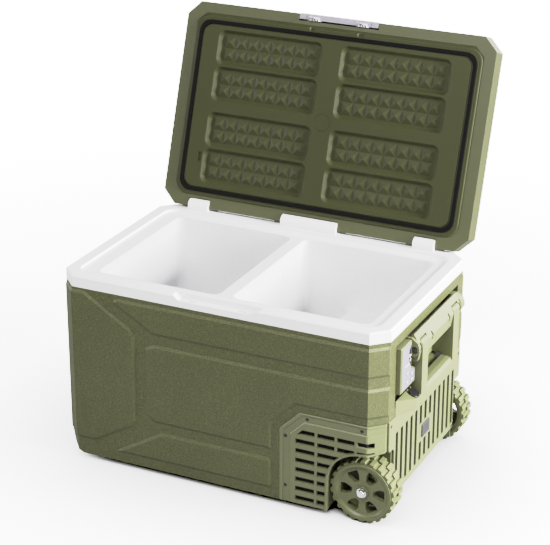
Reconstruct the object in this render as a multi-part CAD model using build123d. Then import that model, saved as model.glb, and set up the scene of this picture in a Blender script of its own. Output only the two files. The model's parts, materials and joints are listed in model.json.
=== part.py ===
from build123d import *
import os
import math

os.makedirs("parts", exist_ok=True)

# Compressor cooler fridge on two wheels, twin compartments, lid hinged at the back.
# Units mm.  +X runs along the length towards the wheels, +Y towards the hinges, +Z up.
# Origin: on the floor, under the centre of the body.

# ---------------------------------------------------------------- driving dimensions
W = 620.0            # body length
D = 393.0            # body depth
H = 360.0            # height of the rim's top
ZB = 12.0            # height of the body's underside
RIM_H = 21.5         # height of the white rim collar
C = 27.7             # chamfer of the vertical corners
T = 4.0              # shell wall
GAP = 0.3            # clearance between neighbouring mouldings

LID_T = 44.0         # lid thickness
LID_C = 25.6         # lid corner chamfer
LID_YB = 192.1       # lid's back edge when closed
HY, HZ = 189.0, 366.0  # hinge axis
OPEN = 108.7         # lid opening angle, which is the rest position
SEAL = 5.5           # depth of the sealing land below the rim top

BX = 120.4           # left edge of the compressor bay
BZ = 189.0           # top of the compressor bay

LX0, LX1 = -258.0, 268.0   # liner outer faces
LY0, LY1 = -156.5, 148.0
LT = 2.2             # liner wall
DX0, DX1 = -16.0, 8.0      # divider wall between the compartments
ZF_L = 70.0          # floor of the deep compartment
ZF_R = 232.0         # floor of the shallow shelf above the compressor

WX, WZ, WR = 272.0, 58.5, 58.5   # wheel centre and radius
WY0, WY1 = 148.0, 190.0          # wheel width band, measured from the centre plane
AXR = 4.5            # stub axle radius

HYC = 8.0            # centre of the tow end's grip assembly
HX = 332.0           # front plane of the grip frame
PX, PZ = 323.0, 299.0  # grip pivot axis


# ---------------------------------------------------------------- helpers
def box(x0, x1, y0, y1, z0, z1):
    return Pos((x0 + x1) / 2, (y0 + y1) / 2, (z0 + z1) / 2) * Box(abs(x1 - x0), abs(y1 - y0), abs(z1 - z0))


def cyl(p, d, r, h):
    """Cylinder from point p along unit direction d."""
    return Plane(origin=p, z_dir=d) * Cylinder(r, h, align=(Align.CENTER, Align.CENTER, Align.MIN))


def cone(p, d, r1, r2, h):
    return Plane(origin=p, z_dir=d) * Cone(r1, r2, h, align=(Align.CENTER, Align.CENTER, Align.MIN))


def pxy(pts, z0, z1):
    f = make_face(Polyline(*[(x, y, z0) for x, y in pts], close=True))
    return extrude(f, amount=z1 - z0, dir=(0, 0, 1))


def pxz(pts, y0, y1):
    f = make_face(Polyline(*[(x, y0, z) for x, z in pts], close=True))
    return extrude(f, amount=y1 - y0, dir=(0, 1, 0))


def pyz(pts, x0, x1):
    f = make_face(Polyline(*[(x0, y, z) for y, z in pts], close=True))
    return extrude(f, amount=x1 - x0, dir=(1, 0, 0))


def octo(x0, x1, y0, y1, c, z0, z1):
    return pxy([(x0 + c, y0), (x1 - c, y0), (x1, y0 + c), (x1, y1 - c),
                (x1 - c, y1), (x0 + c, y1), (x0, y1 - c), (x0, y0 + c)], z0, z1)


def rrect(x0, x1, y0, y1, r, z0, z1):
    b = box(x0, x1, y0, y1, z0, z1)
    return fillet(b.edges().filter_by(Axis.Z), r)


def soften(p, edges, r, kind="fillet"):
    """Round the chosen edges; if the radius is too large for one of them, try smaller ones."""
    for k in (1.0, 0.6, 0.35):
        try:
            q = fillet(edges, r * k) if kind == "fillet" else chamfer(edges, r * k)
            if q.is_valid and q.volume > 0.5 * p.volume:
                return q
        except Exception:
            pass
    return p


def slope_edges(p, run, drop):
    """Give a panel on the front face broad sloping edges: first along the front, then along each corner face."""
    for nx in (0, 1, -1):
        fs = [f for f in p.faces() if f.normal_at().Y < -0.5 and (near(f.normal_at().X, 0, 0.02) if nx == 0 else f.normal_at().X * nx > 0.5)
              and near(abs(f.normal_at().Z), 0, 0.02)]
        if not fs:
            continue
        f = max(fs, key=lambda q: q.area)
        if nx == 0:
            es = [k for k in f.edges() if not (near(abs(k.center().X), W / 2 - C, 4) and near(abs((k % 0.5).Z), 1, 0.01))]
        else:
            es = [k for k in f.edges() if abs((k % 0.5).Z) < 0.5 and k.length > 6]
        for q in (1.0, 0.8, 0.6, 0.4):
            try:
                c = chamfer(es, run * q, drop * q, reference=f)
                if c.is_valid and 0.4 * p.volume < c.volume < p.volume:
                    p = c
                    break
            except Exception:
                pass
        else:
            print("edges left square", nx, len(es))
    return p


def near(v, t, e=0.05):
    return abs(v - t) < e


def mir_x(p):
    return p.mirror(Plane.YZ)


def mir_y(p):
    return p.mirror(Plane.XZ)


parts = {}


def solids_of(s):
    return list(s.solids())


def add(name, shape):
    parts[name] = shape


# ---------------------------------------------------------------- body shell
prof = [(-310, 41), (-298, 24), (-272, ZB), (BX, ZB), (BX, 151.2), (158.2, BZ), (310, BZ), (310, H - RIM_H - GAP), (-310, H - RIM_H - GAP)]
ztop = H - RIM_H - GAP
outer = pxz(prof, -D / 2, D / 2) & octo(-W / 2, W / 2, -D / 2, D / 2, C, ZB, ztop)

# raised styling panels with broad sloping edges, which wrap round the corner chamfers
RZ = 2.8             # height of the styling panels
RB = 4.6             # width of their sloping edges
relief_up = [(-201, 323), (-197, 328.5), (-190, 331), (320, 331), (320, 277), (-123, 277)]
relief_mid = [(-138, 248), (-121, 257), (320, 257), (320, 202), (151, 202), (109, 163), (105.5, 157), (105.5, 110), (102, 107), (-121, 107), (-138, 118)]
relief_low = [(-205.2, 31.6), (101, 31.6), (105.3, 36), (105.3, 85), (101, 89), (-109, 88.5)]
relief_left = [(-320, 334), (-258, 334), (-198, 297), (-167, 279), (-159, 265), (-160, 100), (-168, 88), (-246, 44), (-320, 44)]
layer = octo(-W / 2 - RZ, W / 2 + RZ, -D / 2 - RZ, D / 2 + RZ, C + 1.64, 20, 336)
front_slab = box(-309.9, 309.9, -D / 2 - 5, -D / 2 + C, 0, 400) & pxy(
    [(-309.9, -D / 2 - 5), (309.9, -D / 2 - 5), (309.9, -D / 2 + C - 0.5), (-309.9, -D / 2 + C - 0.5)], 0, 400)
relief = None
for poly in (relief_up, relief_mid, relief_low, relief_left):
    r = (layer & pxz(poly, -D / 2 - 3, -D / 2 + C)) & front_slab
    r = slope_edges(r, RB, RZ - 0.3)
    relief = r if relief is None else relief + r
outer = outer + relief + mir_y(relief)

cav_prof = [(-306, 43), (-295.5, 27.5), (-271, ZB + T), (BX - T, ZB + T), (BX - T, 153), (156.5, BZ + T), (306, BZ + T), (306, 400), (-306, 400)]
cavity = pxz(cav_prof, -D / 2 + T, D / 2 - T) & octo(-W / 2 + T, W / 2 - T, -D / 2 + T, D / 2 - T, C - 1.6, 0, 400)
REC = 145.0          # half width of the end recess
RZ0, RZ1 = 206.0, 320.0   # its height band
RX = 290.0           # its floor


def recess(grow=0.0):
    return pxz([(RX - grow, RZ0 + 10 - grow), (311, RZ0 - grow * 1.3 - 0.4), (311, RZ1 + grow), (RX - grow, RZ1 + grow)], -REC - grow, REC + grow)


cavity = cavity - recess(T) - mir_x(recess(T))
shell = outer - cavity - recess() - mir_x(recess())
add("outer_shell", shell)

# ---------------------------------------------------------------- rim collar
rim = octo(-W / 2, W / 2, -D / 2, D / 2, C, H - RIM_H, H)
rim = soften(rim, rim.faces().sort_by(Axis.Z)[-1].edges(), 2.6, "chamfer")
rim = rim - rrect(-288, 288, -174.5, 170, 24, H - SEAL, H + 1)
rim = rim - rrect(LX0 - GAP, LX1 + GAP, LY0 - GAP, LY1 + GAP, 18, 0, 400)
rim = rim - pxz([(-83, H + 0.1), (-71, H - 9.5), (71, H - 9.5), (83, H + 0.1)], -205, -181)
for s in (-1, 1):
    rim = rim - box(s * 48 - 8.4, s * 48 + 8.4, -192, -187.4, H - 19, H - 9)
TABS = [(-252, -211), (-57, 55), (208, 248)]
for x0, x1 in TABS:
    lug = cyl((x0, HY, HZ), (1, 0, 0), 13.0, x1 - x0)
    lug = lug + box(x0, x1, 177.5, HY + 9.6, H - RIM_H, HZ)
    lug = lug - cyl((x0 - 1, HY, HZ), (1, 0, 0), 2.55, x1 - x0 + 2)
    rim = rim - cyl((x0 - 1, HY, HZ), (1, 0, 0), 2.55, x1 - x0 + 2) + lug
add("rim_collar", rim)

# ---------------------------------------------------------------- liner with two compartments
def tub(o):
    """Outer form of the liner grown by o: deep tub, and a shallow shelf over the compressor."""
    a = rrect(LX0 - o, 104 + o, LY0 - o, LY1 + o, 18, ZF_L - LT - o, H - SEAL)
    b = rrect(-20 - o, LX1 + o, LY0 - o, LY1 + o, 18, ZF_R - LT - o, H - SEAL)
    return a + b


liner = tub(0)
liner = liner - rrect(LX0 + LT, DX0, LY0 + LT, LY1 - LT, 15, ZF_L, 400)
liner = liner - rrect(DX1, 104 - LT, LY0 + LT, LY1 - LT, 15, ZF_L, 400)
liner = liner - rrect(DX1, LX1 - LT, LY0 + LT, LY1 - LT, 15, ZF_R, 400)
liner = liner - box(DX0 + LT, DX1 - LT, LY0 + 22, LY1 - 22, 0, H - SEAL - 4)     # the divider is hollow from below
fl = rrect(LX0 - 14, LX1 + 14, LY0 - 14, LY1 + 14, 20, ztop - 3, ztop - GAP) - rrect(LX0 + 1, LX1 - 1, LY0 + 1, LY1 - 1, 17, 0, 400)
liner = liner + fl
add("inner_liner", liner)

# drain plug in the floor of the deep compartment
add("drain_plug", cyl((-230, -120, ZF_L + 0.1), (0, 0, 1), 11, 2.6) + box(-238, -222, -121.5, -118.5, ZF_L + 2, ZF_L + 4.4))

# interior lamp on the inside of the front wall
add("interior_lamp", box(-150, -116, LY0 + LT + 0.2, LY0 + LT + 6, 300, 312))

# evaporator plate wrapped round the deep tub, in the gap between liner and foam
def band(o0, o1, z0, z1):
    return rrect(LX0 - o1, -40, LY0 - o1, LY1 + o1, 18 + o1 * 0.5, z0, z1) - rrect(LX0 - o0, -30, LY0 - o0, LY1 + o0, 18 + o0 * 0.5, z0 - 1, z1 + 1) - box(-60, 0, -300, 300, z0 - 1, z1 + 1)


add("evaporator_plate", band(0.35, 1.35, 120, 300))

foam = pxz([(-305.7, 43.3), (-295.2, 28), (-270.8, ZB + T + GAP), (BX - T - GAP, ZB + T + GAP), (BX - T - GAP, 153.2), (156.3, BZ + T + GAP), (305.7, BZ + T + GAP), (305.7, ztop - 3.3), (-305.7, ztop - 3.3)], -D / 2 + T + GAP, D / 2 - T - GAP)
foam = foam & octo(-W / 2 + T + GAP, W / 2 - T - GAP, -D / 2 + T + GAP, D / 2 - T - GAP, C - 1.6, 0, 400)
foam = foam - recess(T + GAP) - mir_x(recess(T + GAP)) - tub(1.8)
add("insulation_foam", foam)

# ---------------------------------------------------------------- lid, drawn closed, then opened
def lid_open(p):
    return p.rotate(Axis((0, HY, HZ), (1, 0, 0)), -OPEN)


LZ = H + 0.5
lid = octo(-W / 2, W / 2, -D / 2, LID_YB, LID_C, LZ, H + LID_T)
lid = soften(lid, lid.faces().sort_by(Axis.Z)[-1].edges(), 7, "chamfer")
crown = octo(-W / 2 + 34, W / 2 - 34, -D / 2 + 34, LID_YB - 34, 22, H + LID_T - 0.5, H + LID_T + 5)
crown = soften(crown, crown.faces().sort_by(Axis.Z)[-1].edges(), 3, "chamfer")
lid = lid + crown
lid = lid - octo(-W / 2 + 22, W / 2 - 22, -D / 2 + 20, LID_YB - 24, 18, LZ - 1, H + LID_T - 4.5)
lid = lid - pxz([(-80.5, LZ - 1), (-80.5, H + 34.6), (-75.5, H + 39.8), (75.5, H + 39.8), (80.5, H + 34.6), (80.5, LZ - 1)], -D / 2 - 5, -183.6)
for x0, x1 in TABS:
    lid = lid - box(x0 - 0.6, x1 + 0.6, HY - 14, LID_YB + 5, LZ - 1, HZ + 14.2)
    for a, b in ((x0 - 16, x0 - 0.6), (x1 + 0.6, x1 + 16)):
        lid = lid + cyl((a, HY, HZ), (1, 0, 0), 5.4, b - a)
for x0, x1 in TABS:
    lid = lid - cyl((x0 - 14, HY, HZ), (1, 0, 0), 2.5, x1 - x0 + 28)
lid = lid - pyz([(LID_YB - 2.8, LZ - 1), (LID_YB + 1, LZ - 1), (LID_YB + 1, LZ + 2.8)], -W / 2 - 1, W / 2 + 1)
add("lid_shell", lid_open(lid))

pins = None
for x0, x1 in TABS:
    p = cyl((x0 - 14, HY, HZ), (1, 0, 0), 2.5, x1 - x0 + 28)
    pins = p if pins is None else pins + p
add("lid_hinge_pins", lid_open(pins))

PF = H - SEAL + 0.9     # face of the inner panel
panel = octo(-W / 2 + 22.3, W / 2 - 22.3, -D / 2 + 20.3, LID_YB - 24.3, 18, LZ + 0.2, LZ + 3.2)
panel = panel + rrect(-281, 281, -166.5, 163.5, 24, PF + 2, LZ + 1)
panel = panel + rrect(-268, 268, -154.5, 152, 18, PF, LZ + 1)
ridge = rrect(-287.3, 287.3, -173.4, 169.2, 26, LZ - 2.8, LZ) - rrect(-279.3, 279.3, -165.2, 162.0, 23.6, 0, 500)
ridge = soften(ridge, [k for k in ridge.edges() if all(near(v.Z, LZ - 2.8) for v in k.vertices())], 2.7)
for s in (-1, 1):
    ridge = ridge - cyl((s * 48, -178, LZ - 6.0), (0, 1, 0), 7.0, 16)     # dents opposite the latch hooks
panel = panel + ridge + (rrect(-286, 286, -171.5, 167.5, 26, LZ - 0.6, LZ + 1) & octo(-W / 2 + 22.3, W / 2 - 22.3, -D / 2 + 20.3, LID_YB - 24.3, 18, LZ - 0.6, LZ + 1) - rrect(-279.3, 279.3, -165.2, 162.0, 23.6, 0, 500))
panel = panel - (rrect(-278.5, 278.5, -164.3, 161.3, 23, PF - 1, PF + 4.2) - rrect(-271, 271, -157, 154, 20, PF - 2, PF + 5))
POCKX = [(-232.6, -25.0), (20.0, 228.4)]
POCKY = [(-144, -85.5), (-75, -16.5), (11.5, 70), (81, 139.5)]
cuts = None
for x0, x1 in POCKX:
    for y0, y1 in POCKY:
        c = rrect(x0 - 1.5, x1 + 1.5, y0 - 1.5, y1 + 1.5, 12, PF - 1, PF + 7)
        c = soften(c, c.faces().sort_by(Axis.Z)[-1].edges(), 3.6, "chamfer")
        m = rrect(x0 - 3.7, x1 + 3.7, y0 - 3.7, y1 + 3.7, 14, PF - 2, PF + 2.3)
        c = c + soften(m, m.faces().sort_by(Axis.Z)[-1].edges(), 2.2, "chamfer")
        cuts = c if cuts is None else cuts + c
backs = None
for x0, x1 in POCKX:
    for y0, y1 in POCKY:
        c = rrect(x0 - 2.5, x1 + 2.5, y0 - 2.5, y1 + 2.5, 13, LZ + 1, PF + 9.5)
        # field of low pyramids standing on the pocket floor
        backs = c if backs is None else backs + c
panel = (panel + backs) - cuts
pyr = None
for x0, x1 in POCKX:
    for y0, y1 in POCKY:
        nx, ny = 8, 2
        ax, ay = x0 + 7, y0 + 5
        px, py = (x1 - x0 - 14) / nx, (y1 - y0 - 10) / ny
        for i in range(nx):
            for j in range(ny):
                cx, cy = ax + (i + 0.5) * px, ay + (j + 0.5) * py
                base = make_face(Polyline((cx - px / 2, cy - py / 2, PF + 7.2), (cx + px / 2, cy - py / 2, PF + 7.2), (cx + px / 2, cy + py / 2, PF + 7.2), (cx - px / 2, cy + py / 2, PF + 7.2), close=True))
                tip = make_face(Polyline((cx - 0.6, cy - 0.6, PF + 2.6), (cx + 0.6, cy - 0.6, PF + 2.6), (cx + 0.6, cy + 0.6, PF + 2.6), (cx - 0.6, cy + 0.6, PF + 2.6), close=True))
                q = Solid.make_loft([base.face().outer_wire(), tip.face().outer_wire()], True)
                pyr = [q] if pyr is None else pyr + [q]
panel = panel + pyr
panel = panel - cyl((-3, -2, PF - 1), (0, 0, 1), 16.3, 2.4)
panel = panel - box(-246.5, -239.5, 87, 104, PF - 1, PF + 3)      # small vent slot
add("lid_panel", lid_open(panel))
add("foam_fill_plug", lid_open(cyl((-3, -2, PF + 0.3), (0, 0, 1), 16, 1.0)))

seal = rrect(-278.2, 278.2, -164.0, 161.0, 23, PF - 0.4, PF + 4.0) - rrect(-271.3, 271.3, -157.3, 154.3, 20, PF - 2, PF + 5)
add("lid_gasket", lid_open(seal))

lfoam = octo(-W / 2 + 22.4, W / 2 - 22.4, -D / 2 + 20.4, LID_YB - 24.4, 18, PF + 10, H + LID_T - 4.9)
add("lid_foam", lid_open(lfoam))

# latch bar: swings on two pins in the lid's front notch, and hooks into the rim's slots
LAX, LAZ = -189.6, H + 31.0     # latch axis (y, z), closed
latch = pxz([(-79, LZ), (-79, H + 30), (-74.6, H + 34.4), (74.6, H + 34.4), (79, H + 30), (79, LZ)], -197.5, -192.2)
latch = soften(latch, [k for k in latch.edges() if all(near(v.Y, -197.5) for v in k.vertices())], 1.6, "chamfer")
knuck = cyl((-72, LAX, LAZ), (1, 0, 0), 4.2, 144)
latch = latch + knuck + box(-72, 72, -193, LAX, LAZ - 4.2, LAZ + 4.2)
latch = latch + box(-79, 79, -193, -186.5, LZ + 0.0, LZ + 5)
for s in (-1, 1):
    for k in (-1, 0, 1):       # three slanted hook blades
        bx = s * 48 + 5.2 * k
        latch = latch + pxz([(bx - 2.2, H - 15), (bx + 0.4, H - 15), (bx + 2.2, LZ + 1), (bx - 0.4, LZ + 1)], -191.2, -188.4)
    latch = latch + box(s * 48 - 12, s * 48 + 12, -193, -184.8, LZ + 0.0, LZ + 9)
    latch = latch - box(s * 64.5 - 1, s * 64.5 + 1, -198, -185, LZ - 1, LZ + 1.4)
latch = latch - cyl((-90, LAX, LAZ), (1, 0, 0), 1.55, 180)
add("lid_latch", lid_open(latch))
lp = cyl((-88, LAX, LAZ), (1, 0, 0), 1.5, 176)
add("latch_pin", lid_open(lp))
parts["lid_shell"] = parts["lid_shell"] - lid_open(cyl((-88, LAX, LAZ), (1, 0, 0), 1.5, 176))

# ---------------------------------------------------------------- compressor bay covers
def offs_poly(k):
    return [(BX + 0.5 + k, ZB + 0.5 + k), (BX + 0.5 + k, 151.0 - 0.4 * k), (158.4 + 0.4 * k, BZ - 0.5 - k), (307 - k, BZ - 0.5 - k), (307 - k, ZB + 0.5 + k)]


def wheel_arch(g, y1=-144.0):
    """Wheel arch opening grown by g: upright left side, round shoulder, top rising across the chamfer."""
    a = box(211 - g, 320, -D / 2 - 5, y1, -5, 68) + cyl((275, -D / 2 - 5, 68), (0, 1, 0), 64 + g, y1 + D / 2 + 5)
    return a + pxz([(275, 60), (275, 132 + g), (284, 132.3 + g), (320, 137 + g), (320, 60)], -D / 2 - 5, y1)


INNER = [(140.5, ZB + 0.5), (140.5, 145.3), (167.7, 172.2), (307, 172.2), (307, ZB + 0.5)]


def vent_cover():
    ring = octo(-W / 2, W / 2, -D / 2, D / 2, C, 0, 200) - octo(-W / 2 + 3.5, W / 2 - 3.5, -D / 2 + 3.5, D / 2 - 3.5, C - 1.4, -1, 201)
    region = pxz(offs_poly(0), -D / 2 - 4, -100)
    edge = octo(-W / 2 - 1.6, W / 2 + 1.6, -D / 2 - 1.6, D / 2 + 1.6, C + 0.9, 0, 200) - octo(-W / 2 + 0.5, W / 2 - 0.5, -D / 2 + 0.5, D / 2 - 0.5, C, -1, 201)
    border = edge & (region - pxz([(127.4, 0), (127.4, 148.6), (164.3, 184.6), (400, 184.6), (400, 0)], -D / 2 - 5, -90))
    border = soften(border, [k for k in border.edges() if all(near(v.Y, -D / 2 - 1.6) for v in k.vertices())], 1.0, "chamfer")
    up = octo(-W / 2 - 2.0, W / 2 + 2.0, -D / 2 - 2.0, D / 2 + 2.0, C + 1.1, 0, 200) - octo(-W / 2 + 0.5, W / 2 - 0.5, -D / 2 + 0.5, D / 2 - 0.5, C, -1, 201)
    up = up & pxz(INNER, -D / 2 - 4, -100)
    up = soften(up, [k for k in up.edges() if all(near(v.Y, -D / 2 - 2.0) for v in k.vertices())], 1.5, "chamfer")
    c = ((ring & region) + border + up) - box(306.2, 320, -168.6, -80, 0, 200)
    well = (wheel_arch(3.0) & box(180, 306.2, -D / 2 + 1, -144.4, ZB + 0.5, 160)) & octo(-W / 2, W / 2, -D / 2, D / 2, C, 0, 200)
    lip = wheel_arch(3.4) & box(180, 306.2, -D / 2 - 3.4, -D / 2 + C, ZB + 0.5, 160)
    lip = lip & octo(-W / 2 - 3.2, W / 2 + 3.2, -D / 2 - 3.2, D / 2 + 3.2, C + 1.8, 0, 200) - octo(-W / 2 + 1, W / 2 - 1, -D / 2 + 1, D / 2 - 1, C, -1, 201)
    c = c + well + lip
    # louvre slots: four columns by eight rows, kept outside the arch's lip
    cols = [(151.5, 187.3, 8), (192.0, 240.0, 8), (228.8, 260.6, 2), (265.4, 293.0, 2)]
    slots = None
    for k, (a, b, n) in enumerate(cols):
        for r in range(n):
            zt = 157.3 - 18.3 * r
            bb = 224.1 if (k == 1 and r < 2) else b
            if k == 0 and r == 0:
                q = pxz([(a + 3.5, zt - 9.6), (a + 13, zt), (b, zt), (b, zt - 9.6)], -D / 2 - 6, -160)
            else:
                q = box(a, bb, -D / 2 - 6, -160, zt - 9.6, zt)
            slots = q if slots is None else slots + q
    c = c - (slots - wheel_arch(3.4)) - wheel_arch(0, -147.4)
    c = c - cyl((WX, -150, WZ), (0, 1, 0), 8.0, 12)
    for x, z in VENT_SCREWS:
        c = c - cyl((x, -D / 2 - 3, z), (0, 1, 0), 1.7, 16) - cyl((x, -D / 2 - 3, z), (0, 1, 0), 3.3, 4.4)
    return c


VENT_SCREWS = [(172.7, 178.0), (272.6, 178.0), (132.0, 139.0), (132.0, 43.5)]
vc = vent_cover()
add("front_vent_cover", vc)
add("rear_vent_cover", mir_y(vc))

EPX0, EPX1 = 307.6, 311.0
ep = pyz([(-168.3, BZ - 0.5), (168.3, BZ - 0.5), (168.3, 137), (164, 131), (149, 131), (143.5, 124), (143.5, 36), (-143.5, 36), (-143.5, 124), (-149, 131), (-164, 131), (-168.3, 137)], EPX0, EPX1)
ep = soften(ep, [k for k in ep.edges() if all(near(v.X, EPX1) for v in k.vertices())], 1.0, "chamfer")
for i in range(-6, 7):
    y = i * 22.25
    if abs(i) <= 1:
        ep = ep - box(300, 320, y - 5, y + 5, 120, 156) - box(300, 320, y - 5, y + 5, 48, 84)
    else:
        ep = ep - box(300, 320, y - 5, y + 5, 48, 156)
# corner posts behind the panel, down to the chassis
ep = ep + box(300.6, EPX0 + 0.5, -143.0, -139.5, 36, 120) + box(300.6, EPX0 + 0.5, 139.5, 143.0, 36, 120)
END_SCREWS = [(-160.0, 178.0), (160.0, 178.0), (-137.5, 41.0), (137.5, 41.0)]
for y, z in END_SCREWS:
    ep = ep - cyl((300, y, z), (1, 0, 0), 1.7, 20) - cyl((309.6, y, z), (1, 0, 0), 3.3, 4)
add("end_grille_panel", ep)
bd = box(EPX1 + 0.1, EPX1 + 2.0, -17, 17, 91, 115)
add("blank_badge", soften(bd, [k for k in bd.edges() if all(near(v.X, EPX1 + 2.0) for v in k.vertices())], 0.8, "chamfer"))

scr = []
for x, z in VENT_SCREWS:
    s = cyl((x, -D / 2 + 0.2, z), (0, 1, 0), 3.0, 1.15) + cyl((x, -D / 2 + 1.0, z), (0, 1, 0), 1.5, 9)
    s = s - box(x - 2, x + 2, -D / 2, -D / 2 + 0.7, z - 0.4, z + 0.4) - box(x - 0.4, x + 0.4, -D / 2, -D / 2 + 0.7, z - 2, z + 2)
    scr += [s, mir_y(s)]
for y, z in END_SCREWS:
    s = cyl((310.75, y, z), (-1, 0, 0), 3.0, 1.1) + cyl((310, y, z), (-1, 0, 0), 1.5, 9)
    s = s - box(310.1, 311, y - 2, y + 2, z - 0.4, z + 0.4) - box(310.1, 311, y - 0.4, y + 0.4, z - 2, z + 2)
    scr += [s]
add("cover_screws", Compound(children=[q for s in scr for q in s.solids()]))

# chassis plate with the two axle ears
ch = box(BX + 1.2, 287, -143, 143, ZB, ZB + 2)
ch = ch + box(285, 287, -136, 136, ZB, 32)
for s in (-1, 1):
    e = pxz([(232, ZB), (287, ZB), (300, 40), (300, 84), (288, 96), (256, 96), (232, 60)], -142.8, -139.8)
    e = e if s < 0 else mir_y(e)
    ch = ch + e
for s in (-1, 1):
    ch = ch - cyl((WX, s * 139, WZ), (0, s, 0), AXR, 6)
add("chassis_plate", ch)

# ---------------------------------------------------------------- wheels
def wheel_rim():
    a, b = WY0 + 2, WY1
    r = cyl((0, a, 0), (0, 1, 0), 50.2, b - a)
    r = r - cone((0, b - 3.5, 0), (0, 1, 0), 43.5, 49.5, 6)   # dish, outside
    r = r - cyl((0, a - 1, 0), (0, 1, 0), 45.0, 28)          # dish, inside
    r = r + cyl((0, a - 1.5, 0), (0, 1, 0), 15, b - a - 2.5) + cyl((0, a, 0), (0, 1, 0), 11, b - a - 0.5)   # hub
    for k in range(6):
        ang = math.radians(60 * k)
        pts = []
        for rad, da in ((20, 12.5), (33, 18), (41.5, 14), (41.5, -14), (33, -18), (20, -12.5)):
            aa = ang + math.radians(da)
            pts.append((rad * math.cos(aa), rad * math.sin(aa)))
        h = pxz(pts, a - 5, b + 5)
        h = fillet(h.edges().filter_by(Axis.Y), 2.2)
        r = r - h
    ring = cyl((0, b - 1, 0), (0, 1, 0), 53.0, 2.0) - cyl((0, b - 2, 0), (0, 1, 0), 48.5, 5)
    r = r + ring - cyl((0, a - 10, 0), (0, 1, 0), AXR + 0.06, 80)
    return r


def wheel_tyre():
    a, b = WY0, WY1 - 1.2
    t = cyl((0, a, 0), (0, 1, 0), 55.0, b - a) - cyl((0, a - 1, 0), (0, 1, 0), 50.2, b - a + 2)
    n = 22
    for k in range(n):
        for row in range(2):
            ang = 360.0 / n * (k + 0.5 * row)
            y0 = a if row == 0 else (a + b) / 2 + 1.0
            y1 = (a + b) / 2 - 1.0 if row == 0 else b
            kn = pyz([(-5.4, 54.2), (5.4, 54.2), (3.9, WR), (-3.9, WR)], y0, y1).rotate(Axis((0, 0, 0), (0, 0, 1)), 90)
            kn = kn.rotate(Axis((0, 0, 0), (0, 1, 0)), 90)
            kn = kn.rotate(Axis((0, 0, 0), (0, 1, 0)), ang)
            t = t + kn
    return t


wr = wheel_rim()
wt = wheel_tyre()
for nm, s in (("rear", 1), ("front", -1)):
    r, t = (wr, wt) if s > 0 else (mir_y(wr), mir_y(wt))
    add(nm + "_wheel_rim", Pos(WX, 0, WZ) * r)
    add(nm + "_wheel_tyre", Pos(WX, 0, WZ) * t)
    ax = cyl((WX, s * 137, WZ), (0, s, 0), AXR, 58.0) + cyl((WX, s * 134.5, WZ), (0, s, 0), 9, 4.5)
    add(nm + "_axle", ax)
    wsh = cyl((WX, s * (WY1 + 0.2), WZ), (0, s, 0), 8.8, 1.6) - cyl((WX, s * WY1, WZ), (0, s, 0), AXR, 4)
    add(nm + "_washer", wsh)
    cap = cyl((WX, s * (WY1 + 2.0), WZ), (0, s, 0), 6.6, 5.2) - cyl((WX, s * WY1, WZ), (0, s, 0), AXR, 5.0)
    cap = soften(cap, [k for k in cap.edges() if all(near(abs(v.Y), WY1 + 7.2) for v in k.vertices())], 1.8)
    add(nm + "_axle_cap", cap)

# feet under the other end
ft = []
for s in (-1, 1):
    f = cone((-262, s * 150, 0), (0, 0, 1), 14, 17, ZB - 0.0)
    ft.append(f)
add("rubber_feet", Compound(children=[q for f in ft for q in f.solids()]))

# ---------------------------------------------------------------- grip frames, one at each end
def grip_frame(yc, shelf):
    f = box(RX + GAP, RX + 3.3, yc - 89, yc + 89, 219, 292)
    f = f + box(RX + GAP, RX + 4, -REC + 48 if shelf else yc - 105, yc + 114, 286, 304)
    cross = pxz([(310.3, 190), (HX - 1.5, 190), (HX, 192), (HX, 207), (328, 213.5), (321, 215.5), (310.3, 215.5)], yc - 88, yc + 88)
    f = f + cross
    for s in (-1, 1):
        y0, y1 = (yc + 61, yc + 88) if s > 0 else (yc - 88, yc - 61)
        f = f + box(RX + GAP, 312, y0, y1, 219, 284)
        f = f + box(310.3, HX, y0, y1, 190, 287)
        f = f + box(PX - 2.6, HX, y0, y1, 284, PZ)
        f = f + cyl((PX, y0, PZ), (0, 1, 0), HX - PX, y1 - y0)
    near_ear = (-97.0, -91.2) if shelf else (yc - 114, yc - 97.8)
    for y0, y1 in (near_ear, (yc + 97.8, yc + 114)):
        e = pxz([(RX + GAP, 317), (318, 317), (329, 309), (HX, 300), (HX, 294), (325, 283), (RX + GAP, 283)], y0, y1)
        f = f + e
    for s in (-1, 1):
        y0, y1 = (yc + 61, yc + 88) if s > 0 else (yc - 88, yc - 61)
        f = f - cyl((PX, y0 - 1, PZ), (0, 1, 0), 3.05, y1 - y0 + 2)
    f = f - cyl((323.5, (near_ear[0] - 1), 297), (0, 1, 0), 5.2, 4.6)
    if shelf:
        f = f + pxz([(310.3, 190), (HX - 1.5, 190), (HX, 192), (HX, 207.5), (310.3, 218.0)], -143.5, yc - 87)
        f = f - pxy([(300, -150), (345, -150), (345, -99.5), (HX, -99.5), (309.9, -144)], 0, 250)
    return f


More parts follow.
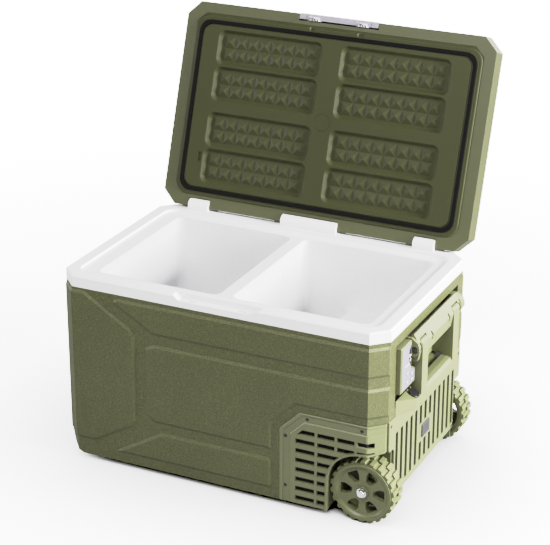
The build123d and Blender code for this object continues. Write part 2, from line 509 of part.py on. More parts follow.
def grip_bar(yc, y0, y1):
    b = pxz([(314, 318.5), (319.5, 322.0), (HX, 299.5), (HX - 5.5, 272), (318.5, 272), (313, 280)], y0, y1)
    b = soften(b, [k for k in b.edges().filter_by(Axis.Y) if near(k.center().X, HX, 0.2) or near(k.center().X, HX - 5.5, 0.2)], 3)
    for s in (-1, 1):
        a0, a1 = (yc + 60.2, yc + 88.8) if s > 0 else (yc - 88.8, yc - 60.2)
        b = b - box(300, 345, a0, a1, 260, PZ) - cyl((PX, a0, PZ), (0, 1, 0), HX - PX + 1.2, a1 - a0)
        b = b - box(PX, 345, a0, a1, 280, PZ + 12)
        # pin pockets beside each lug
        for yy in (yc + s * 93.0 if abs(yc + s * 93.0) < 90 or s > 0 else yc + s * 93.6, yc + s * 40.0):
            if y0 + 2 < yy < y1 - 2:
                b = b - box(PX + 4, 345, yy - 2.4, yy + 2.4, PZ - 8, PZ + 7)
    return b


GB0, GB1 = -90.8, HYC + 97.4
gb = grip_bar(HYC, GB0, GB1)
gpins = []
for s in (-1, 1):
    y0, y1 = (HYC + 53, HYC + 96) if s > 0 else (GB0 + 0.6, HYC - 53)
    gpins.append(cyl((PX, y0, PZ), (0, 1, 0), 3.0, y1 - y0))
    gb = gb - cyl((PX, y0, PZ), (0, 1, 0), 3.0, y1 - y0)
gf = grip_frame(HYC, True)
# inlet bore through the sloping shelf
IN_P = Vector(322.5, -91.0, 212.9)
IN_D = Vector(10.5, 0, 21.7).normalized()
gf = gf - cyl(tuple(IN_P - IN_D * 10.8), tuple(IN_D), 8.5, 30)
add("tow_grip_frame", gf)
add("tow_grip_bar", gb)
add("tow_grip_pins", Compound(children=[q for s in gpins for q in s.solids()]))

# the same assembly, symmetric, at the far end
g2 = grip_frame(0.0, False)
b2 = grip_bar(0.0, -97.4, 97.4)
p2 = []
for s in (-1, 1):
    y0, y1 = (53, 96) if s > 0 else (-96, -53)
    p2.append(cyl((PX, y0, PZ), (0, 1, 0), 3.0, y1 - y0))
    b2 = b2 - cyl((PX, y0, PZ), (0, 1, 0), 3.0, y1 - y0)
add("left_grip_frame", mir_x(g2))
add("left_grip_bar", mir_x(b2))
add("left_grip_pins", Compound(children=[q for s in p2 for q in mir_x(s).solids()]))

# ---------------------------------------------------------------- control pod
PFX = 320.0
podp = [(-143.5, 232), (-81.3, 232), (-81.3, 258), (-98.6, 266), (-98.6, 315), (-143.5, 315)]
pod = pyz(podp, RX + GAP, PFX)
pod = soften(pod, [k for k in pod.edges() if all(near(v.X, PFX) for v in k.vertices())], 2.2, "chamfer")
pod = pod - pyz([(-141, 234.5), (-83.8, 234.5), (-83.8, 256.4), (-101.1, 264.4), (-101.1, 312.5), (-141, 312.5)], RX - 1, PFX - 3.5)
FT = 1.0             # fascia thickness, set in a pocket of the same depth
fasc = [(-140.6, 235.6), (-84.0, 235.6), (-84.0, 256.3), (-101.3, 264.3), (-101.3, 312.0), (-140.6, 312.0)]
pod = pod - pyz(fasc, PFX - FT, PFX + 1)
plate = pyz([(-140.4, 235.8), (-84.2, 235.8), (-84.2, 256.2), (-101.5, 264.15), (-101.5, 311.8), (-140.4, 311.8)], PFX - FT + 0.02, PFX)
LCY, LCZ, LR = -87.0, 289.0, 24.5     # the display is a disc cut off by the fascia's right edge


def lens_shape(g, x0, x1):
    return cyl((x0, LCY, LCZ), (1, 0, 0), LR + g, x1 - x0) & box(x0 - 1, x1 + 1, -130, -102.3 + g, 240, 311.0 + g)


plate = plate - lens_shape(0.2, PFX - 3, PFX + 2)
pod = pod - (cyl((PFX - 6, LCY, LCZ), (1, 0, 0), LR - 2.5, 10) & box(PFX - 7, PFX + 5, -130, -103.6, 275, 303))
BUT = {"power_button": (-118.5, 262.0), "set_button": (-97.0, 254.2), "up_button": (-118.5, 246.0), "down_button": (-97.0, 242.4)}
for nm, (y, z) in BUT.items():
    pod = pod - cyl((PFX - 6, y, z), (1, 0, 0), 4.9, 10)
    plate = plate - cyl((PFX - 6, y, z), (1, 0, 0), 4.9, 10)
    bt = cyl((PFX - 4.6, y, z), (1, 0, 0), 4.6, 5.2)
    bt = soften(bt, [k for k in bt.edges() if near(k.center().X, PFX + 0.6)], 0.4)
    bt = bt + cyl((PFX - 4.8, y, z), (1, 0, 0), 5.6, 1.0)
    add(nm, bt)
add("control_pod", pod)
add("control_fascia", plate)
add("display_lens", lens_shape(0.0, PFX - FT + 0.02, PFX + 0.15))
add("display_board", box(PFX - 8.5, PFX - 7.0, -140, -102.5, 236, 311))

# power inlet socket and its flip cap
inlet = cyl(tuple(IN_P - IN_D * 10.5), tuple(IN_D), 8.2, 9.5) - cyl(tuple(IN_P - IN_D * 9), tuple(IN_D), 6.0, 12)
for s in (-1, 1):
    inlet = inlet + cyl(tuple(IN_P - IN_D * 9.5 + Vector(0, s * 3.6, 0)), tuple(IN_D), 0.9, 5.5)
add("power_inlet", inlet)
capd = cyl(tuple(IN_P + IN_D * 0.5), tuple(IN_D), 10.5, 2.0)
capd = soften(capd, capd.edges().sort_by(Axis.Z)[-1:], 0.7)
CAPH = IN_P + IN_D * 1.4 + Vector(-IN_D.Z, 0, IN_D.X) * 12.0
capd = capd + cyl((CAPH.X, CAPH.Y - 5, CAPH.Z), (0, 1, 0), 1.9, 10)
capd = capd + (Plane(origin=tuple((CAPH + IN_P + IN_D * 1.5) * 0.5), z_dir=tuple(IN_D), x_dir=(0, 1, 0)) * Box(9, 12, 1.8))
capd = capd - cyl((CAPH.X, CAPH.Y - 6, CAPH.Z), (0, 1, 0), 1.05, 12)
add("inlet_cap", capd)
ears = None
for s in (-1, 1):
    yy0 = CAPH.Y + (5.3 if s > 0 else -7.3)
    e = cyl((CAPH.X, yy0, CAPH.Z), (0, 1, 0), 1.9, 2.0) + box(CAPH.X - 1.9, CAPH.X + 1.9, yy0, yy0 + 2.0, CAPH.Z - 5.5, CAPH.Z)
    ears = e if ears is None else ears + e
parts["tow_grip_frame"] = parts["tow_grip_frame"] + ears - cyl((CAPH.X, CAPH.Y - 8, CAPH.Z), (0, 1, 0), 1.0, 16)
add("inlet_cap_pin", cyl((CAPH.X, CAPH.Y - 7.2, CAPH.Z), (0, 1, 0), 1.0, 14.4))

# ---------------------------------------------------------------- machinery in the bay
comp = cyl((186, 10, 44), (0, 0, 1), 47, 62)
comp = comp + (Pos(186, 10, 106) * Sphere(47) & box(100, 300, -100, 100, 106, 136))
comp = comp + (Pos(186, 10, 44) * Sphere(47) & box(100, 300, -100, 100, 26, 44.5))
comp = comp + box(128, 244, -40, 60, 25.5, 28.5) + cyl((186, 10, 130), (0, 0, 1), 8, 10) + cyl((226, 10, 90), (1, 0, 0), 12, 16)
for x in (136, 236):
    for y in (-32, 52):
        comp = comp - cyl((x, y, 20), (0, 0, 1), 6.0, 12)
add("compressor", comp)
gr = []
for x in (136, 236):
    for y in (-32, 52):
        g = cyl((x, y, ZB + 2.0), (0, 0, 1), 9, 11.2) + cyl((x, y, 24), (0, 0, 1), 5.8, 8) + cyl((x, y, 28.8), (0, 0, 1), 8, 4)
        gr.append(g - cyl((x, y, 0), (0, 0, 1), 3.0, 50))
add("compressor_mounts", Compound(children=[q for s in gr for q in s.solids()]))
bl = []
for x in (136, 236):
    for y in (-32, 52):
        bl.append(cyl((x, y, ZB + 2.0), (0, 0, 1), 2.9, 22) + cyl((x, y, 33.0), (0, 0, 1), 6.5, 4))
add("mount_bolts", Compound(children=[q for s in bl for q in s.solids()]))

cond = box(130, 204, -136, -108, 30, 33) + box(130, 204, -136, -108, 147, 150)
for i in range(19):
    x = 131.5 + i * 3.9
    cond = cond + box(x, x + 0.8, -136, -108, 32, 148)
for j in range(4):
    cond = cond + cyl((129, -122, 48 + 28 * j), (1, 0, 0), 4, 76)
add("condenser", cond)
add("filter_drier", cyl((150, 92, 60), (0, 0, 1), 9, 70) + cone((150, 92, 130), (0, 0, 1), 9, 3, 10) + cone((150, 92, 60), (0, 0, -1), 9, 3, 10))
brd = box(180, 280, 112, 114, 40, 125)
for i in range(9):
    brd = brd + box(190 + 7 * i, 192 + 7 * i, 100, 112.5, 75, 118)
brd = brd + box(188, 250, 109, 112.5, 74, 119) + cyl((262, 112.2, 60), (0, -1, 0), 8, 16) + box(200, 235, 100, 112.2, 46, 62)
add("control_board", brd)

ff = box(276, 301, -46, 46, 34, 126)
ff = fillet(ff.edges().filter_by(Axis.X), 5)
FY, FZ = 0.0, 80.0
ff = ff - cyl((270, FY, FZ), (1, 0, 0), 43.5, 40)
ff = ff + cyl((276, FY, FZ), (1, 0, 0), 17, 3)
for k in range(4):
    a = math.radians(45 + 90 * k)
    st = box(276, 279, -2.5, 2.5, 15, 44.5).rotate(Axis((0, 0, 0), (1, 0, 0)), 45 + 90 * k)
    ff = ff + Pos(0, FY, FZ) * st
ff = ff + cyl((279, FY, FZ), (1, 0, 0), 2.0, 12)
add("fan_frame", ff)
fr = cyl((280.2, FY, FZ), (1, 0, 0), 17, 18)
for k in range(7):
    bld = box(281, 297, -1.1, 1.1, 15, 41.5).rotate(Axis((289, 0, 30), (0, 0, 1)), 38)
    fr = fr + Pos(0, FY, FZ) * bld.rotate(Axis((0, 0, 0), (1, 0, 0)), 360 / 7 * k)
fr = fr - cyl((279, FY, FZ), (1, 0, 0), 2.05, 12.5)
add("fan_rotor", fr)

# ---------------------------------------------------------------- write
for name, shape in parts.items():
    sol = list(shape.solids())
    shp = sol[0] if len(sol) == 1 else Compound(children=sol)
    export_step(shp, "parts/" + name + ".step")
    print(name, len(sol), round(sum(s.volume for s in sol) / 1000, 2))
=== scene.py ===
import bpy, bmesh, math, json
from mathutils import Vector, Matrix


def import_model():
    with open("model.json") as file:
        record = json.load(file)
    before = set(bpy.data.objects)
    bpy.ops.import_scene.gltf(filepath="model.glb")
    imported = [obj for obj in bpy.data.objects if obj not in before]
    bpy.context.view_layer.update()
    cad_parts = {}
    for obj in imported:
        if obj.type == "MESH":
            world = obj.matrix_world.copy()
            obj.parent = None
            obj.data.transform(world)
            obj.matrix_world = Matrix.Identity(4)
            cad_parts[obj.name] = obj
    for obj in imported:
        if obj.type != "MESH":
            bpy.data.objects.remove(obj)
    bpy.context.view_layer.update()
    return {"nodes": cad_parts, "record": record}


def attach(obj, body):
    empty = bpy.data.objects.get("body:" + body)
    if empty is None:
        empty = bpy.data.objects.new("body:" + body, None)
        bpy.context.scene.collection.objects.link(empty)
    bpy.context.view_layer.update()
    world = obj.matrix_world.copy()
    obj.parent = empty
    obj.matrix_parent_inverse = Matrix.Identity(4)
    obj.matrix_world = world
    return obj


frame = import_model()
nodes = frame["nodes"]


# ------------------------------------------------------------------ node helpers
def new_mat(name):
    m = bpy.data.materials.new(name)
    m.use_nodes = True
    nt = m.node_tree
    nt.nodes.clear()
    out = nt.nodes.new("ShaderNodeOutputMaterial")
    b = nt.nodes.new("ShaderNodeBsdfPrincipled")
    nt.links.new(b.outputs[0], out.inputs[0])
    return m, nt, b, out


def coords(nt, scale=(1, 1, 1)):
    tc = nt.nodes.new("ShaderNodeTexCoord")
    mp = nt.nodes.new("ShaderNodeMapping")
    mp.inputs["Scale"].default_value = scale
    nt.links.new(tc.outputs["Object"], mp.inputs["Vector"])
    return mp.outputs["Vector"]


def noise(nt, vec, scale, detail=2.0, rough=0.5):
    n = nt.nodes.new("ShaderNodeTexNoise")
    n.inputs["Scale"].default_value = scale
    n.inputs["Detail"].default_value = detail
    n.inputs["Roughness"].default_value = rough
    nt.links.new(vec, n.inputs["Vector"])
    return n.outputs["Fac"]


def ramp(nt, fac, stops):
    r = nt.nodes.new("ShaderNodeValToRGB")
    e = r.color_ramp.elements
    while len(e) < len(stops):
        e.new(0.5)
    for k, (p, c) in enumerate(stops):
        e[k].position = p
        e[k].color = (c[0], c[1], c[2], 1.0)
    nt.links.new(fac, r.inputs[0])
    return r.outputs[0]


def maprange(nt, v, a, b, c, d):
    m = nt.nodes.new("ShaderNodeMapRange")
    m.inputs[1].default_value, m.inputs[2].default_value = a, b
    m.inputs[3].default_value, m.inputs[4].default_value = c, d
    nt.links.new(v, m.inputs[0])
    return m.outputs[0]


def mix(nt, fac, a, b, mode="MIX"):
    m = nt.nodes.new("ShaderNodeMix")
    m.data_type = "RGBA"
    m.blend_type = mode
    if isinstance(fac, float):
        m.inputs[0].default_value = fac
    else:
        nt.links.new(fac, m.inputs[0])
    for s, v in ((6, a), (7, b)):
        if isinstance(v, tuple):
            m.inputs[s].default_value = (v[0], v[1], v[2], 1)
        else:
            nt.links.new(v, m.inputs[s])
    return m.outputs[2]


def bevel(nt, radius):
    b = nt.nodes.new("ShaderNodeBevel")
    b.samples = 4
    b.inputs["Radius"].default_value = radius
    return b.outputs[0]


# mask of softened edges (bevel normal against true normal), used to lighten edge colour as wear and as a painted
# highlight
def edge_wear_and_highlight_mask(nt, bev, lo=0.86, hi=0.995):
    g = nt.nodes.new("ShaderNodeNewGeometry")
    d = nt.nodes.new("ShaderNodeVectorMath")
    d.operation = "DOT_PRODUCT"
    nt.links.new(bev, d.inputs[0])
    nt.links.new(g.outputs["Normal"], d.inputs[1])
    return maprange(nt, d.outputs["Value"], lo, hi, 1.0, 0.0)


def bump(nt, height, dist, strength=1.0, normal=None):
    b = nt.nodes.new("ShaderNodeBump")
    b.inputs["Strength"].default_value = strength
    b.inputs["Distance"].default_value = dist
    nt.links.new(height, b.inputs["Height"])
    if normal is not None:
        nt.links.new(normal, b.inputs["Normal"])
    return b.outputs[0]


def scaled(c, k):
    return (c[0] * k, c[1] * k, c[2] * k)


def plastic(name, col, grain=0.0025, amp=0.10, rough=0.5, rvar=0.08, bd=0.00012, bevel_r=0.0009, edge_wear_and_highlight=0.16, spec=0.5, coat=0.0, large=0.05, sheen=0.0, fleck=0.0):
    """Moulded plastic: fine mould grain in colour and bump, slow colour drift, softened edges lightened in colour as
    slight wear and as a painted highlight.
    """
    m, nt, b, out = new_mat(name)
    v = coords(nt)
    g1 = noise(nt, v, 1.0 / grain, 3.0, 0.62)
    g2 = noise(nt, v, 9.0, 2.0, 0.5)
    base = ramp(nt, g1, [(0.30, scaled(col, 1 - amp)), (0.5, col), (0.70, scaled(col, 1 + amp * 1.15))])
    drift = ramp(nt, g2, [(0.3, (1 - large,) * 3), (0.7, (1.0, 1.0, 1.0))])
    c = mix(nt, 1.0, base, drift, "MULTIPLY")
    if fleck > 0:
        f = noise(nt, v, 0.72 / grain, 1.0, 0.4)
        c = mix(nt, maprange(nt, f, 0.62, 0.72, 0.0, fleck), c, scaled(col, 1.9))
    bev = bevel(nt, bevel_r)
    # edges lightened in colour: partly slight wear, partly a painted highlight on the rounded edges
    if edge_wear_and_highlight > 0:
        c = mix(nt, maprange(nt, edge_wear_and_highlight_mask(nt, bev), 0, 1, 0, edge_wear_and_highlight), c, tuple(min(1.0, x * 1.9 + 0.02) for x in col))
    nt.links.new(c, b.inputs["Base Color"])
    nt.links.new(maprange(nt, g1, 0.25, 0.75, rough + rvar, rough - rvar), b.inputs["Roughness"])
    fine = noise(nt, v, 2.2 / grain, 2.0, 0.5)
    nrm = bump(nt, fine, bd, 0.55, bev)
    nrm = bump(nt, g1, bd * 1.6, 0.7, nrm)
    nt.links.new(nrm, b.inputs["Normal"])
    b.inputs["Specular IOR Level"].default_value = spec
    if coat:
        b.inputs["Coat Weight"].default_value = coat
        b.inputs["Coat Roughness"].default_value = 0.25
    if sheen:
        b.inputs["Sheen Weight"].default_value = sheen
        b.inputs["Sheen Roughness"].default_value = 0.4
    return m


def metal(name, col, rough=0.3, axis=(1, 1, 12), scale=260.0, bevel_r=0.0004, brush=0.08):
    m, nt, b, out = new_mat(name)
    v = coords(nt, axis)
    n1 = noise(nt, v, scale, 3.0, 0.6)
    n2 = noise(nt, coords(nt), 40.0, 2.0, 0.5)
    nt.links.new(ramp(nt, n1, [(0.3, scaled(col, 0.84)), (0.7, tuple(min(1, x * 1.05) for x in col))]), b.inputs["Base Color"])
    nt.links.new(maprange(nt, n2, 0.3, 0.7, rough - brush, rough + brush), b.inputs["Roughness"])
    b.inputs["Metallic"].default_value = 1.0
    nt.links.new(bump(nt, n1, 0.00004, 0.5, bevel(nt, bevel_r)), b.inputs["Normal"])
    return m


def foam(name, col):
    m, nt, b, out = new_mat(name)
    v = coords(nt)
    vo = nt.nodes.new("ShaderNodeTexVoronoi")
    vo.inputs["Scale"].default_value = 520.0
    nt.links.new(v, vo.inputs["Vector"])
    nt.links.new(ramp(nt, vo.outputs["Distance"], [(0.0, scaled(col, 0.72)), (0.6, col)]), b.inputs["Base Color"])
    b.inputs["Roughness"].default_value = 0.9
    nt.links.new(bump(nt, vo.outputs["Distance"], 0.0004, 0.8), b.inputs["Normal"])
    return m


OLIVE = (0.0675, 0.0715, 0.0280)
COVER = (0.114, 0.122, 0.058)
WHEELC = (0.096, 0.103, 0.042)
WHITE = (0.76, 0.752, 0.765)
GREY = (0.25, 0.24, 0.27)

M = {}
M["olive_shell"] = plastic("olive_grained", OLIVE, grain=0.0017, amp=0.50, rough=0.50, bd=0.00028, bevel_r=0.0012, edge_wear_and_highlight=0.30, spec=0.36, large=0.07, fleck=0.32)
# olive_smooth and olive_panel are darkened copies of the shell olive (x0.80, x0.50) for the lid and fill plug: painted
# shade
M["olive_smooth"] = plastic("olive_inner_painted_shade", scaled(OLIVE, 0.80), grain=0.0016, amp=0.09, rough=0.46, bd=0.00007, bevel_r=0.0013, edge_wear_and_highlight=0.16, spec=0.5, large=0.05)
M["olive_panel"] = plastic("olive_lining_painted_shade", scaled(OLIVE, 0.50), grain=0.0016, amp=0.10, rough=0.50, bd=0.00007, bevel_r=0.0013, edge_wear_and_highlight=0.20, spec=0.14, large=0.05)
M["olive_cover"] = plastic("olive_satin", COVER, grain=0.0018, amp=0.07, rough=0.46, bd=0.00007, bevel_r=0.0008, edge_wear_and_highlight=0.20, spec=0.5, large=0.04)
M["wheel_plastic"] = plastic("olive_wheel", WHEELC, grain=0.0018, amp=0.08, rough=0.46, bd=0.00008, bevel_r=0.0010, edge_wear_and_highlight=0.18, large=0.05)
M["tyre_plastic"] = plastic("olive_tread", scaled(WHEELC, 1.03), grain=0.0016, amp=0.12, rough=0.62, bd=0.00012, bevel_r=0.0008, edge_wear_and_highlight=0.18, large=0.06)
M["white_moulding"] = plastic("white_collar", WHITE, grain=0.0022, amp=0.012, rough=0.36, rvar=0.04, bd=0.00003, bevel_r=0.0014, edge_wear_and_highlight=0.0, large=0.015)
M["liner_white"] = plastic("white_liner", scaled(WHITE, 0.88), grain=0.003, amp=0.012, rough=0.28, rvar=0.04, bd=0.00002, bevel_r=0.0016, edge_wear_and_highlight=0.0, large=0.02)
M["seal_rubber"] = plastic("black_seal", (0.0022, 0.0022, 0.0024), grain=0.0014, amp=0.25, rough=0.70, bd=0.00006, bevel_r=0.0008, edge_wear_and_highlight=0.0, spec=0.08)
M["grey_trim"] = plastic("grey_lilac", GREY, grain=0.0016, amp=0.04, rough=0.40, bd=0.00003, bevel_r=0.0006, edge_wear_and_highlight=0.10, large=0.03)
M["black_plastic"] = plastic("black_gloss", (0.008, 0.008, 0.009), grain=0.002, amp=0.15, rough=0.30, bd=0.00003, bevel_r=0.0005, edge_wear_and_highlight=0.05, coat=0.0)
M["bright_steel"] = metal("bright_steel", (0.72, 0.72, 0.73), 0.22)
M["galvanised"] = metal("galvanised", (0.20, 0.205, 0.21), 0.52, (1, 1, 1), 60.0, 0.0004, 0.12)
M["bare_aluminium"] = metal("bare_aluminium", (0.78, 0.78, 0.79), 0.35)
M["copper"] = metal("copper", (0.72, 0.40, 0.26), 0.25)
M["black_steel"] = plastic("black_steel", (0.012, 0.012, 0.013), grain=0.003, amp=0.2, rough=0.38, bd=0.00008, bevel_r=0.0015, edge_wear_and_highlight=0.03)
M["pu_foam"] = foam("pu_foam", (0.72, 0.62, 0.36))
M["circuit_green"] = plastic("circuit_green", (0.02, 0.12, 0.04), grain=0.002, amp=0.25, rough=0.35, bd=0.00005, bevel_r=0.0003, edge_wear_and_highlight=0.0)
M["lamp_white"] = plastic("lamp_lens", (0.86, 0.87, 0.90), grain=0.004, amp=0.02, rough=0.2, bd=0.00002, bevel_r=0.0008, edge_wear_and_highlight=0.0)

M["badge_grey"] = plastic("badge_grey", (0.026, 0.026, 0.028), grain=0.0016, amp=0.06, rough=0.38, bd=0.00003, bevel_r=0.0006, edge_wear_and_highlight=0.12)
M["key_white"] = plastic("print_white", (0.86, 0.86, 0.88), grain=0.002, amp=0.02, rough=0.35, bd=0.00001, bevel_r=0.0001, edge_wear_and_highlight=0.0, large=0.01)
M["digit_lit"] = plastic("digit_lit", (0.90, 0.92, 0.95), grain=0.002, amp=0.02, rough=0.3, bd=0.00001, bevel_r=0.0001, edge_wear_and_highlight=0.0, large=0.01)
M["fascia_grey"] = plastic("fascia_grey", (0.150, 0.143, 0.168), grain=0.0014, amp=0.05, rough=0.38, bd=0.00002, bevel_r=0.0005, edge_wear_and_highlight=0.08, large=0.03)
# near-black sheet material for behind the vents: painted shade
M["painted_shade_black"] = foam("painted_shade_black", (0.0030, 0.0030, 0.0033))
M["hook_white"] = plastic("hook_white", (0.70, 0.70, 0.72), grain=0.0016, amp=0.03, rough=0.34, bd=0.00002, bevel_r=0.0004, edge_wear_and_highlight=0.0, large=0.02)

slot_of = {s["node"]: s.get("material_slot") for s in frame["record"]["subparts"]}
special = {"lid_panel": "olive_panel", "foam_fill_plug": "olive_panel", "lid_shell": "olive_smooth", "front_wheel_tyre": "tyre_plastic", "rear_wheel_tyre": "tyre_plastic", "blank_badge": "badge_grey", "control_fascia": "fascia_grey", "power_button": "fascia_grey", "set_button": "fascia_grey", "up_button": "fascia_grey", "down_button": "fascia_grey"}
for n, o in nodes.items():
    key = special.get(n) or slot_of.get(n)
    o.data.materials.clear()
    o.data.materials.append(M[key])


# ------------------------------------------------------------------ mesh helpers
def mesh_obj(name, bm, mat, body, smooth=False):
    me = bpy.data.meshes.new(name)
    bmesh.ops.recalc_face_normals(bm, faces=bm.faces)
    bm.to_mesh(me)
    bm.free()
    if smooth:
        for p in me.polygons:
            p.use_smooth = True
    o = bpy.data.objects.new(name, me)
    bpy.context.scene.collection.objects.link(o)
    me.materials.append(mat)
    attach(o, body)
    return o


MM = 0.001
HY, HZ, OPEN = 189.0, 366.0, math.radians(108.7)
D, W, H, C = 393.0, 620.0, 360.0, 27.7


def opened(p):
    """Closed-lid coordinates to rest coordinates, mm."""
    dy, dz = p[1] - HY, p[2] - HZ
    return (p[0], HY + dy * math.cos(OPEN) + dz * math.sin(OPEN), HZ - dy * math.sin(OPEN) + dz * math.cos(OPEN))


def prism(bm, pts, off):
    """Closed prism: base polygon pts (mm, in 3-D) swept by off."""
    a = [bm.verts.new([q * MM for q in p]) for p in pts]
    b = [bm.verts.new([(p[k] + off[k]) * MM for k in range(3)]) for p in pts]
    n = len(pts)
    bm.faces.new(a)
    bm.faces.new(list(reversed(b)))
    for i in range(n):
        bm.faces.new((a[i], b[i], b[(i + 1) % n], a[(i + 1) % n]))


# black sheets behind the louvres of both vent covers: painted shade standing in for the dark vent interior
for s in (-1, 1):
    bm = bmesh.new()
    y = s * (D / 2 - 5.2)
    poly = [(129, 14.4), (129, 149), (146, 166), (280, 166), (280, 141.5), (262, 139), (240, 131), (222, 116), (207.5, 92), (206.5, 70), (206.5, 14.4)]
    prism(bm, [(x, y, z) for x, z in poly], (0, -s * 0.8, 0))
    prism(bm, [(280.0, y, 141.5), (303.0, y - s * 23.0, 141.5), (303.0, y - s * 23.0, 166), (280.0, y, 166)], (-0.57, -s * 0.57, 0))
    mesh_obj("painted_shade_sheet_" + ("rear" if s > 0 else "front"), bm, M["painted_shade_black"], "cabinet")

# black sheet behind the slotted end panel: painted shade standing in for the dark interior
bm = bmesh.new()
prism(bm, [(305.4, -136, 44), (305.4, 136, 44), (305.4, 136, 160), (305.4, -136, 160)], (0.8, 0, 0))
mesh_obj("painted_shade_sheet_end", bm, M["painted_shade_black"], "cabinet")

# black disc on the near ear of the tow grip: painted shade standing in for the dark bore
bm = bmesh.new()
pl = [(324.4 + 4.7 * math.cos(2 * math.pi * k / 28), -97.0, 294.0 + 4.7 * math.sin(2 * math.pi * k / 28)) for k in range(28)]
prism(bm, pl, (0, -0.25, 0))
mesh_obj("ear_bore_painted_shade", bm, M["black_plastic"], "cabinet")

# printed divider line on the fascia
bm = bmesh.new()
prism(bm, [(320.0, -127.5, 275.6), (320.0, -103.2, 275.6), (320.0, -103.2, 276.7), (320.0, -127.5, 276.7)], (0.12, 0, 0))
mesh_obj("fascia_line", bm, M["key_white"], "cabinet")

# seven-segment numerals under the display lens
SEG = {"0": "abcdef", "4": "bcfg", "5": "acdfg", "1": "bc", "8": "abcdefg"}


def digit(bm, ch, y0, z0, w, h, x):
    t = 0.62
    m = z0 + h / 2
    boxes = {"a": (y0 + t, z0 + h - t, y0 + w - t, z0 + h), "g": (y0 + t, m - t / 2, y0 + w - t, m + t / 2), "d": (y0 + t, z0, y0 + w - t, z0 + t),
             "f": (y0, m + t * 0.3, y0 + t, z0 + h - t * 0.4), "b": (y0 + w - t, m + t * 0.3, y0 + w, z0 + h - t * 0.4),
             "e": (y0, z0 + t * 0.4, y0 + t, m - t * 0.3), "c": (y0 + w - t, z0 + t * 0.4, y0 + w, m - t * 0.3)}
    for k in SEG[ch]:
        a, b, c, d = boxes[k]
        prism(bm, [(x, a, b), (x, c, b), (x, c, d), (x, a, d)], (0.08, 0, 0))


bm = bmesh.new()
for i, ch in enumerate("04"):
    digit(bm, ch, -110.3 + 4.0 * i, 287.0, 3.1, 5.6, 320.15)
for i, ch in enumerate("10"):
    digit(bm, ch, -109.0 + 3.0 * i, 279.4, 2.3, 4.2, 320.15)
mesh_obj("display_digits", bm, M["digit_lit"], "cabinet")

# generic key marks: power ring, gear-like dot ring, up and down arrows
BUT = {"power": (-118.5, 262.0), "set": (-97.0, 254.2), "up": (-118.5, 246.0), "down": (-97.0, 242.4)}


def ringmark(bm, y, z, r0, r1, a0, a1, n, x):
    for i in range(n):
        t0, t1 = a0 + (a1 - a0) * i / n, a0 + (a1 - a0) * (i + 1) / n
        p = [(x, y + r0 * math.cos(t0), z + r0 * math.sin(t0)), (x, y + r1 * math.cos(t0), z + r1 * math.sin(t0)),
             (x, y + r1 * math.cos(t1), z + r1 * math.sin(t1)), (x, y + r0 * math.cos(t1), z + r0 * math.sin(t1))]
        prism(bm, p, (0.1, 0, 0))


XB = 320.6
for k, (y, z) in BUT.items():
    bm = bmesh.new()
    if k == "power":
        ringmark(bm, y, z, 1.7, 2.4, math.radians(125), math.radians(415), 22, XB)
        prism(bm, [(XB, y - 0.35, z + 0.4), (XB, y + 0.35, z + 0.4), (XB, y + 0.35, z + 2.8), (XB, y - 0.35, z + 2.8)], (0.1, 0, 0))
    elif k == "set":
        ringmark(bm, y, z, 1.1, 1.9, 0, math.radians(360), 18, XB)
        for j in range(6):
            a = math.radians(60 * j)
            cy, cz = y + 2.4 * math.cos(a), z + 2.4 * math.sin(a)
            prism(bm, [(XB, cy - 0.35, cz - 0.35), (XB, cy + 0.35, cz - 0.35), (XB, cy + 0.35, cz + 0.35), (XB, cy - 0.35, cz + 0.35)], (0.1, 0, 0))
    else:
        q = 1 if k == "up" else -1
        prism(bm, [(XB, y - 2.3, z - q * 1.4), (XB, y + 2.3, z - q * 1.4), (XB, y, z + q * 2.3)], (0.1, 0, 0))
    mesh_obj(k + "_key_mark", bm, M["key_white"], k + "_key")

# pale ribbed pads round the latch hooks
bm = bmesh.new()
for s in (-1, 1):
    x0 = s * 48
    for j in range(4):
        xa = x0 - 10.6 + 5.4 * j
        pts = [(xa, -192.4, 360.5), (xa + 2.6, -192.4, 360.5), (xa + 5.0, -185.2, 360.5), (xa + 2.4, -185.2, 360.5)]
        base = [opened(p) for p in pts]
        tip = opened((0, 0, -1.1))
        o0 = opened((0, 0, 0))
        prism(bm, base, tuple(tip[k] - o0[k] for k in range(3)))
mesh_obj("latch_ribs", bm, M["hook_white"], "latch")

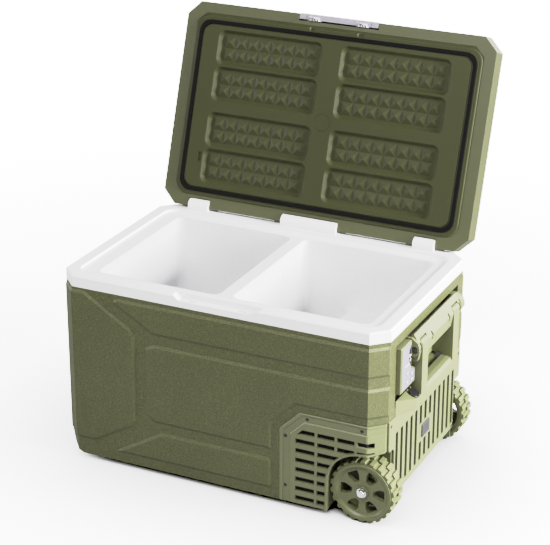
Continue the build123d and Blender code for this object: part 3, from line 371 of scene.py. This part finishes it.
# ------------------------------------------------------------------ floor, world, light
def floor():
    bm = bmesh.new()
    bmesh.ops.create_grid(bm, x_segments=2, y_segments=2, size=4.5)
    me = bpy.data.meshes.new("studio_floor")
    bm.to_mesh(me)
    bm.free()
    o = bpy.data.objects.new("studio_floor", me)
    bpy.context.scene.collection.objects.link(o)
    m, nt, b, out = new_mat("floor_white")
    fn = noise(nt, coords(nt), 3.0, 3.0, 0.5)
    nt.links.new(ramp(nt, fn, [(0.3, (0.885, 0.885, 0.89)), (0.7, (0.905, 0.905, 0.91))]), b.inputs["Base Color"])
    b.inputs["Roughness"].default_value = 0.75
    b.inputs["Specular IOR Level"].default_value = 0.2
    tr = nt.nodes.new("ShaderNodeBsdfTransparent")
    ms = nt.nodes.new("ShaderNodeMixShader")
    em = nt.nodes.new("ShaderNodeEmission")
    em.inputs[1].default_value = 3.0
    # the floor's camera-seen glow is dimmed by ambient occlusion near the object: a painted contact shadow
    painted_shadow_ao = nt.nodes.new("ShaderNodeAmbientOcclusion")
    painted_shadow_ao.samples = 8
    painted_shadow_ao.inputs["Distance"].default_value = 0.30
    lp = nt.nodes.new("ShaderNodeLightPath")
    camera_glow_with_painted_shadow = nt.nodes.new("ShaderNodeMath")
    camera_glow_with_painted_shadow.operation = "MULTIPLY"
    nt.links.new(maprange(nt, painted_shadow_ao.outputs["AO"], 0.0, 1.0, -0.6, 5.4), camera_glow_with_painted_shadow.inputs[0])
    nt.links.new(lp.outputs["Is Camera Ray"], camera_glow_with_painted_shadow.inputs[1])
    nt.links.new(camera_glow_with_painted_shadow.outputs[0], em.inputs[1])
    half = nt.nodes.new("ShaderNodeMixShader")
    half.inputs[0].default_value = 0.60
    nt.links.new(b.outputs[0], half.inputs[1])
    nt.links.new(em.outputs[0], half.inputs[2])
    v = coords(nt)
    ln = nt.nodes.new("ShaderNodeVectorMath")
    ln.operation = "LENGTH"
    nt.links.new(v, ln.inputs[0])
    nt.links.new(maprange(nt, ln.outputs["Value"], 0.75, 2.6, 1.0, 0.0), ms.inputs[0])
    nt.links.new(tr.outputs[0], ms.inputs[1])
    nt.links.new(half.outputs[0], ms.inputs[2])
    nt.links.new(ms.outputs[0], out.inputs[0])
    me.materials.append(m)
    o.location = (0, 0, -0.0003)


def world():
    w = bpy.data.worlds.new("studio")
    bpy.context.scene.world = w
    w.use_nodes = True
    nt = w.node_tree
    nt.nodes.clear()
    out = nt.nodes.new("ShaderNodeOutputWorld")
    a = nt.nodes.new("ShaderNodeBackground")
    a.inputs[0].default_value = (1, 1, 1, 1)
    a.inputs[1].default_value = WORLD
    c = nt.nodes.new("ShaderNodeBackground")
    c.inputs[0].default_value = (1, 1, 1, 1)
    c.inputs[1].default_value = 6.0
    lp = nt.nodes.new("ShaderNodeLightPath")
    ms = nt.nodes.new("ShaderNodeMixShader")
    nt.links.new(lp.outputs["Is Camera Ray"], ms.inputs[0])
    nt.links.new(a.outputs[0], ms.inputs[1])
    nt.links.new(c.outputs[0], ms.inputs[2])
    nt.links.new(ms.outputs[0], out.inputs[0])


def area(name, loc, target, power, sx, sy):
    l = bpy.data.lights.new(name, "AREA")
    l.shape = "RECTANGLE"
    l.size, l.size_y = sx, sy
    l.energy = power
    o = bpy.data.objects.new(name, l)
    bpy.context.scene.collection.objects.link(o)
    o.location = loc
    d = Vector(target) - Vector(loc)
    o.rotation_euler = d.to_track_quat("-Z", "Y").to_euler()
    return o


WORLD = 0.17
floor()
world()
area("key_right", (3.1, 0.1, 1.25), (0.1, 0, 0.25), 520, 1.2, 1.2)
area("back_right", (1.3, 2.9, 0.9), (0.1, 0, 0.3), 64, 2.0, 1.2)
area("top_soft", (0.3, -1.9, 2.7), (0, 0, 0.25), 124, 2.0, 1.2)
area("left_soft", (-3.2, -0.6, 1.0), (0, 0, 0.2), 85, 2.0, 1.4)

# ------------------------------------------------------------------ camera
AZ, EL, ROLL = math.radians(24.887), math.radians(22.525), math.radians(0.372)
back = Vector((math.sin(AZ) * math.cos(EL), -math.cos(AZ) * math.cos(EL), math.sin(EL)))
fwd = -back
right = fwd.cross(Vector((0, 0, 1))).normalized()
up = right.cross(fwd).normalized()
r2 = right * math.cos(ROLL) + up * math.sin(ROLL)
u2 = -right * math.sin(ROLL) + up * math.cos(ROLL)
cam = bpy.data.cameras.new("camera")
cam.sensor_width = 36.0
cam.lens = 1826.848 / 550 * 36.0
cam.shift_x = -(298.38 - 275.0) / 550
cam.shift_y = (265.65 - 272.5) / 550
cam.clip_start, cam.clip_end = 0.05, 60
co = bpy.data.objects.new("camera", cam)
bpy.context.scene.collection.objects.link(co)
rot = Matrix((r2, u2, back)).transposed()
co.matrix_world = Matrix.Translation((1.3132, -2.6947, 1.59825)) @ rot.to_4x4()
bpy.context.scene.camera = co
bpy.context.scene.view_settings.view_transform = "Standard"
bpy.context.scene.view_settings.look = "None"
vs = bpy.context.scene.view_settings
vs.use_curve_mapping = True
cm = vs.curve_mapping
cm.black_level = (0, 0, 0)
cm.white_level = (5, 5, 5)
cm.extend = "HORIZONTAL"
cv = cm.curves[3]
for a, b in ((0.1, 0.1), (0.3, 0.3), (0.5, 0.49), (0.7, 0.635), (0.9, 0.71), (1.2, 0.765), (2.0, 0.825), (3.0, 0.885), (4.0, 0.945)):
    cv.points.new(a / 5.0, b)
cm.update()
